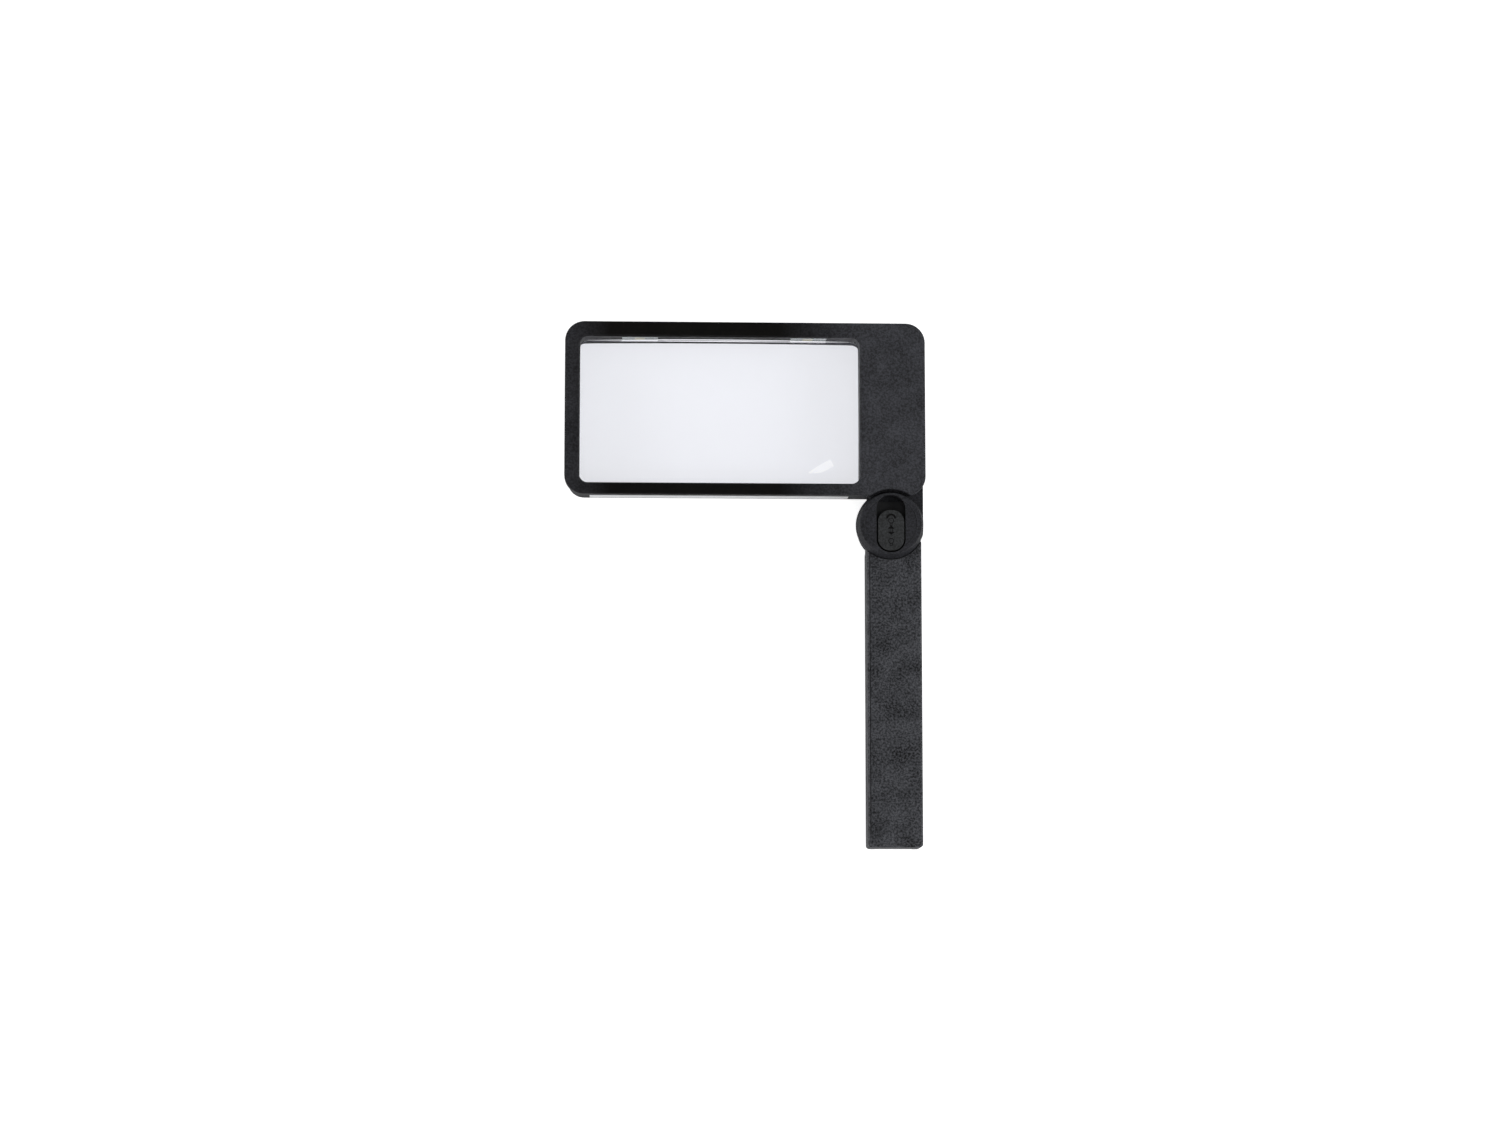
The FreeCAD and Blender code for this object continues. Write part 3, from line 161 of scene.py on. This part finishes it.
def moulded_plastic(name, dark, light, edge, grain_scale, grain_depth, rough, middle=None, sunk_below=None):
    """Black moulded plastic.  Colours run from dark to light with the grain and the haze of handling.
    Given a colour for its middle, the piece is painted darker along its middle as painted shade, and keeps
    its lighter colours only at its two ends.
    Given a level, whatever lies below it, such as engraving and side walls, is painted near-black as painted
    shade."""
    material, tree, shader = new_material(name, IOR=1.5, Specular_IOR_Level=0.17)
    grain = use_group(tree, grain_group, Scale=grain_scale)
    use = use_group(tree, handling_group)
    hazy = add(tree, "ShaderNodeMath", "MULTIPLY", at0=use.outputs["Haze"], at1=haze_share)
    speck = add(tree, "ShaderNodeMath", "MULTIPLY_ADD", at0=grain.outputs["Fleck"], at1=grain_share,
                at2=hazy.outputs[0])
    face = blend_colour(tree, speck.outputs[0], dark, light)
    # Painted shade: the middle of the piece is coloured darker, fading out towards its two ends.
    if middle:
        length = along(tree, "X")
        left = add(tree, "ShaderNodeMapRange", Value=length, From_Min=left_shade_fade[0], From_Max=left_shade_fade[1],
                   To_Max=left_shade_fade_strength)
        right = add(tree, "ShaderNodeMapRange", Value=length, From_Min=right_shade_fade[0], From_Max=right_shade_fade[1])
        ends = add(tree, "ShaderNodeMath", "MAXIMUM", at0=left.outputs["Result"],
                   at1=right.outputs["Result"])
        shaded_middle = blend_colour(tree, speck.outputs[0], (0, 0, 0, 1), middle)
        face = blend_colour(tree, ends.outputs[0], shaded_middle, face)
    face = blend_colour(tree, use.outputs["Rub"], face, edge)
    # Painted shade: everything below the given level, engraved signs and side walls, is coloured near-black.
    if sunk_below is not None:
        sunk = add(tree, "ShaderNodeMath", "LESS_THAN", at0=along(tree, "Z"), at1=sunk_below)
        face = blend_colour(tree, sunk.outputs[0], face, recess_shade_colour)
    tree.links.new(face, shader.inputs["Base Color"])
    hazed = add(tree, "ShaderNodeMapRange", Value=use.outputs["Haze"], To_Min=rough, To_Max=rough + 0.07)
    tree.links.new(hazed.outputs["Result"], shader.inputs["Roughness"])
    bump = add(tree, "ShaderNodeBump", Strength=1.0, Distance=grain_depth, Height=grain.outputs["Height"])
    tree.links.new(bump.outputs["Normal"], shader.inputs["Normal"])
    return material


# The middle colour is painted shade along the frame's middle.
frame_plastic = moulded_plastic(
    "frame_plastic", dark=(0.022, 0.022, 0.024, 1), light=(0.078, 0.080, 0.092, 1),
    edge=(0.02, 0.02, 0.022, 1), grain_scale=1500, grain_depth=0.000012, rough=0.5,
    middle=(0.004, 0.0028, 0.0018, 1))
dress("frame_front_cover", frame_plastic)
dress("frame_rear_housing", frame_plastic)

# ---------------------------------------------------------------------------------------------------
# Hub plate, hub base plate and switch knob.  The same black plastic from smoother tools.  The knob
# slides in the plate's slot, and its signs are engraved; the signs and the knob's side walls are painted
# near-black as painted shade.

engraving_margin = 0.00008

hub_plastic = moulded_plastic(
    "hub_plastic", dark=(0.012, 0.012, 0.013, 1), light=(0.046, 0.047, 0.055, 1),
    edge=(0.07, 0.071, 0.076, 1), grain_scale=1500, grain_depth=0.00001, rough=0.5)
dress("hub_front_plate", hub_plastic)
dress("hub_base_plate", hub_plastic)
knob_plastic = moulded_plastic(
    "knob_plastic", dark=(0.020, 0.0205, 0.021, 1), light=(0.056, 0.059, 0.061, 1),
    edge=(0.05, 0.051, 0.054, 1), grain_scale=1500, grain_depth=0.00001, rough=0.5,
    sunk_below=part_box("switch_knob")[1].z - engraving_margin)
dress("switch_knob", knob_plastic)

# ---------------------------------------------------------------------------------------------------
# Handle shells and battery door.  Two shells of black ABS round the cells, with a sliding door at the
# back, from a coarser spark-eroded tool, so the faces sparkle with fine specks.

handle_plastic = moulded_plastic(
    "handle_plastic", dark=(0.0, 0.0, 0.0, 1), light=(0.118, 0.121, 0.134, 1),
    edge=(0.07, 0.07, 0.075, 1), grain_scale=1350, grain_depth=0.00005, rough=0.5)
dress("handle_front_shell", handle_plastic)
dress("handle_rear_shell", handle_plastic)
dress("battery_door", handle_plastic)

# ---------------------------------------------------------------------------------------------------
# Lens, edge strip and light windows.  The lens and the windows are moulded in clear polished acrylic,
# the strip in milky acrylic, and all are clipped between the cover and the housing.


def clear_acrylic(name, tint, roughness):
    """Polished acrylic that lets the light reach what lies under it."""
    material, tree, shader = new_material(name, Base_Color=tint, Transmission_Weight=1.0, IOR=1.49)
    place = add(tree, "ShaderNodeTexCoord").outputs["Object"]
    smear = add(tree, "ShaderNodeTexNoise", Vector=place, Scale=60.0, Detail=4.0, Roughness=0.6)
    rough = add(tree, "ShaderNodeMapRange", Value=smear.outputs["Fac"], From_Min=0.45, From_Max=0.8,
                To_Min=roughness, To_Max=roughness + 0.03)
    tree.links.new(rough.outputs["Result"], shader.inputs["Roughness"])
    ripple = add(tree, "ShaderNodeTexNoise", Vector=place, Scale=35.0, Detail=1.0)
    bump = add(tree, "ShaderNodeBump", Strength=0.15, Distance=0.00005, Height=ripple.outputs["Fac"])
    tree.links.new(bump.outputs["Normal"], shader.inputs["Normal"])
    through = add(tree, "ShaderNodeBsdfTransparent", Color=tint)
    mix = tree.nodes.new("ShaderNodeMixShader")
    tree.links.new(add(tree, "ShaderNodeLightPath").outputs["Is Shadow Ray"], mix.inputs[0])
    tree.links.new(shader.outputs[0], mix.inputs[1])
    tree.links.new(through.outputs[0], mix.inputs[2])
    tree.links.new(mix.outputs[0], tree.nodes["Material Output"].inputs["Surface"])
    return material


dress("main_lens", clear_acrylic("lens_acrylic", (0.9, 0.908, 0.943, 1), 0.0))
milky, milky_tree, milky_shader = new_material(
    "milky_acrylic", Transmission_Weight=0.25, IOR=1.49, Roughness=0.35)
place = add(milky_tree, "ShaderNodeTexCoord").outputs["Object"]
cloud = add(milky_tree, "ShaderNodeTexNoise", Vector=place, Scale=90.0, Detail=3.0, Roughness=0.5)
milk = blend_colour(milky_tree, cloud.outputs["Fac"], (0.80, 0.81, 0.83, 1),
                    (0.90, 0.905, 0.92, 1))
milky_tree.links.new(milk, milky_shader.inputs["Base Color"])
haze = add(milky_tree, "ShaderNodeBump", Strength=0.2, Distance=0.00003, Height=cloud.outputs["Fac"])
milky_tree.links.new(haze.outputs["Normal"], milky_shader.inputs["Normal"])
dress("clear_edge_strip", milky)
window_acrylic = clear_acrylic("window_acrylic", (0.92, 0.94, 0.96, 1), 0.05)
dress("led_window_left", window_acrylic)
dress("led_window_right", window_acrylic)

# ---------------------------------------------------------------------------------------------------
# Metal pieces.  The screws and the pivot tube are zinc-plated steel, the washer and the battery spring
# are bright spring steel, and the contacts, rings and strips are pressed brass sheet.


def clouded(tree, shader, dark, light, scale, detail, smoothest, roughest, strength):
    """Colour, roughness and a slight unevenness that all follow one noise."""
    place = add(tree, "ShaderNodeTexCoord").outputs["Object"]
    cloud = add(tree, "ShaderNodeTexNoise", Vector=place, Scale=scale, Detail=detail, Roughness=0.6)
    tree.links.new(blend_colour(tree, cloud.outputs["Fac"], dark, light), shader.inputs["Base Color"])
    worn = add(tree, "ShaderNodeMapRange", Value=cloud.outputs["Fac"], To_Min=smoothest, To_Max=roughest)
    tree.links.new(worn.outputs["Result"], shader.inputs["Roughness"])
    bump = add(tree, "ShaderNodeBump", Strength=strength, Distance=0.00001, Height=cloud.outputs["Fac"])
    tree.links.new(bump.outputs["Normal"], shader.inputs["Normal"])


def metal(name, dark, light, rough, scale):
    material, tree, shader = new_material(name, Metallic=1.0)
    clouded(tree, shader, dark, light, scale, detail=5.0, smoothest=rough - 0.08, roughest=rough + 0.14,
            strength=0.5)
    return material


zinc = metal("zinc_plate", (0.38, 0.38, 0.37, 1), (0.62, 0.62, 0.6, 1), 0.35, 900)
for name in ("frame_screws", "hub_screws", "handle_screws", "pivot_tube"):
    dress(name, zinc)
spring_steel = metal("spring_steel", (0.5, 0.5, 0.5, 1), (0.7, 0.7, 0.69, 1), 0.25, 1200)
for name in ("hinge_friction_washer", "battery_spring"):
    dress(name, spring_steel)
brass = metal("contact_brass", (0.62, 0.47, 0.2, 1), (0.83, 0.68, 0.36, 1), 0.28, 1100)
for name in ("hinge_contact_inner", "hinge_contact_outer", "switch_bridge_contact", "positive_contact",
             "contact_ring_inner", "contact_ring_outer", "positive_lead_strip", "negative_lead_strip"):
    dress(name, brass)

# ---------------------------------------------------------------------------------------------------
# Boards, chips, resistor, leads and cells.  Glass-fibre boards under green lacquer, light chips capped
# with yellow phosphor, a lacquered resistor, sleeved leads and two cells in a dark printed sleeve.


def coated(name, dark, light, rough, scale, coat=0.0):
    material, tree, shader = new_material(name, Coat_Weight=coat, Coat_Roughness=0.1)
    clouded(tree, shader, dark, light, scale, detail=4.0, smoothest=rough - 0.05, roughest=rough + 0.1,
            strength=0.4)
    return material


solder_mask = coated("solder_mask", (0.01, 0.09, 0.035, 1), (0.02, 0.15, 0.06, 1), 0.35, 900, 0.4)
for name in ("led_board", "driver_board"):
    dress(name, solder_mask)
black_laminate = coated("black_laminate", (0.006, 0.006, 0.007, 1), (0.012, 0.012, 0.013, 1), 0.5, 900)
dress("switch_contact_board", black_laminate)
dress("led_chips", coated("led_phosphor", (0.8, 0.66, 0.2, 1), (0.9, 0.8, 0.34, 1), 0.4, 1500))
resistor_lacquer = coated("resistor_lacquer", (0.5, 0.4, 0.24, 1), (0.62, 0.52, 0.34, 1), 0.35, 1200, 0.5)
dress("current_resistor", resistor_lacquer)
dress("led_leads", coated("lead_sleeve", (0.35, 0.02, 0.015, 1), (0.5, 0.04, 0.03, 1), 0.45, 800))
cell_sleeve = coated("cell_sleeve", (0.02, 0.03, 0.05, 1), (0.05, 0.06, 0.09, 1), 0.3, 700, 0.5)
dress("battery_cell_upper", cell_sleeve)
dress("battery_cell_lower", cell_sleeve)

# ---------------------------------------------------------------------------------------------------
# Floor, light and camera.  A white paper sweep that glows a little, dimmer in reflections, and painted
# darker and more even as painted shade where it is seen through the lens, four soft lamps all round
# and a narrow one overhead, and a camera nearly overhead.

floor_reach = 3.0
floor_drop = 0.0002  # clear of the back, so that the two faces never coincide
open_glow, mirrored_glow = 0.78, 0.05
open_white = (0.93, 0.93, 0.93, 1)
# Painted shade: the paper seen through the lens is given a darker colour for the frame's shadow on it.
under_lens_shade = (0.34, 0.34, 0.34, 1)

floor_mesh = bpy.data.meshes.new("floor")
sheet = bmesh.new()
bmesh.ops.create_grid(sheet, x_segments=1, y_segments=1, size=floor_reach)
bmesh.ops.translate(sheet, verts=sheet.verts, vec=(0, 0, cad_low.z - floor_drop))
sheet.to_mesh(floor_mesh)
sheet.free()
floor = bpy.data.objects.new("floor", floor_mesh)
bpy.context.collection.objects.link(floor)
paper, paper_tree, paper_shader = new_material(
    "white_paper", Roughness=0.9, Emission_Color=(1, 1, 1, 1))
path = add(paper_tree, "ShaderNodeLightPath").outputs
mirrored = add(paper_tree, "ShaderNodeMath", "SUBTRACT", at0=path["Is Glossy Ray"],
               at1=path["Is Transmission Ray"])
shine = add(paper_tree, "ShaderNodeMapRange", Value=mirrored.outputs[0], To_Min=open_glow,
            To_Max=mirrored_glow)
paper_tree.links.new(shine.outputs["Result"], paper_shader.inputs["Emission Strength"])
# Painted shade: the paper takes the darker colour where it is seen through the lens.
white = blend_colour(paper_tree, path["Is Transmission Ray"], open_white, under_lens_shade)
paper_tree.links.new(white, paper_shader.inputs["Base Color"])
floor_mesh.materials.append(paper)

world = bpy.data.worlds.new("studio")
world.use_nodes = True
world.node_tree.nodes["Background"].inputs["Color"].default_value = (0.95, 0.97, 1.0, 1)
world.node_tree.nodes["Background"].inputs["Strength"].default_value = 0.07
bpy.context.scene.world = world
bpy.context.scene.view_settings.view_transform = "Standard"

middle = (cad_low + cad_high) / 2
lamp_distance = 1.0


def softbox(name, direction, size, watts):
    """A large soft lamp aimed at the object's middle."""
    lamp = bpy.data.lights.new(name, "AREA")
    lamp.shape = "RECTANGLE"
    lamp.size, lamp.size_y = size
    lamp.energy = watts
    item = bpy.data.objects.new(name, lamp)
    way = Vector(direction).normalized()
    item.location = middle + way * lamp_distance
    item.rotation_mode = "QUATERNION"
    item.rotation_quaternion = (-way).to_track_quat("-Z", "Y")
    bpy.context.collection.objects.link(item)


softbox("left_softbox", (-1.0, 0.1, 0.45), (0.9, 0.5), 4.3)
softbox("right_softbox", (1.0, 0.0, 0.55), (0.9, 0.6), 5.0)
softbox("near_softbox", (0.0, -1.0, 0.55), (1.2, 0.5), 2.8)
softbox("far_softbox", (0.0, 1.0, 0.4), (1.2, 0.4), 2.0)
softbox("overhead_strip", (0.15, -0.27, 1.0), (0.8, 0.12), 0.85)

camera_data = bpy.data.cameras.new("camera")
camera_data.lens = 85
camera_data.sensor_width = 36
camera = bpy.data.objects.new("camera", camera_data)
view_width = 0.532
aim = Vector((-0.05025, -0.0143, 0.0170))
back = Vector((-0.040, -0.135, 1.0)).normalized()
side = Vector((0, 1, 0)).cross(back).normalized()
up = back.cross(side)
turn = Matrix((side, up, back)).transposed()
camera.rotation_mode = "QUATERNION"
camera.rotation_quaternion = turn.to_quaternion()
camera.location = aim + back * (view_width * camera_data.lens / camera_data.sensor_width)
camera_data.clip_start = 0.05
camera_data.clip_end = 10
bpy.context.collection.objects.link(camera)
bpy.context.scene.camera = camera

bpy.context.view_layer.update()
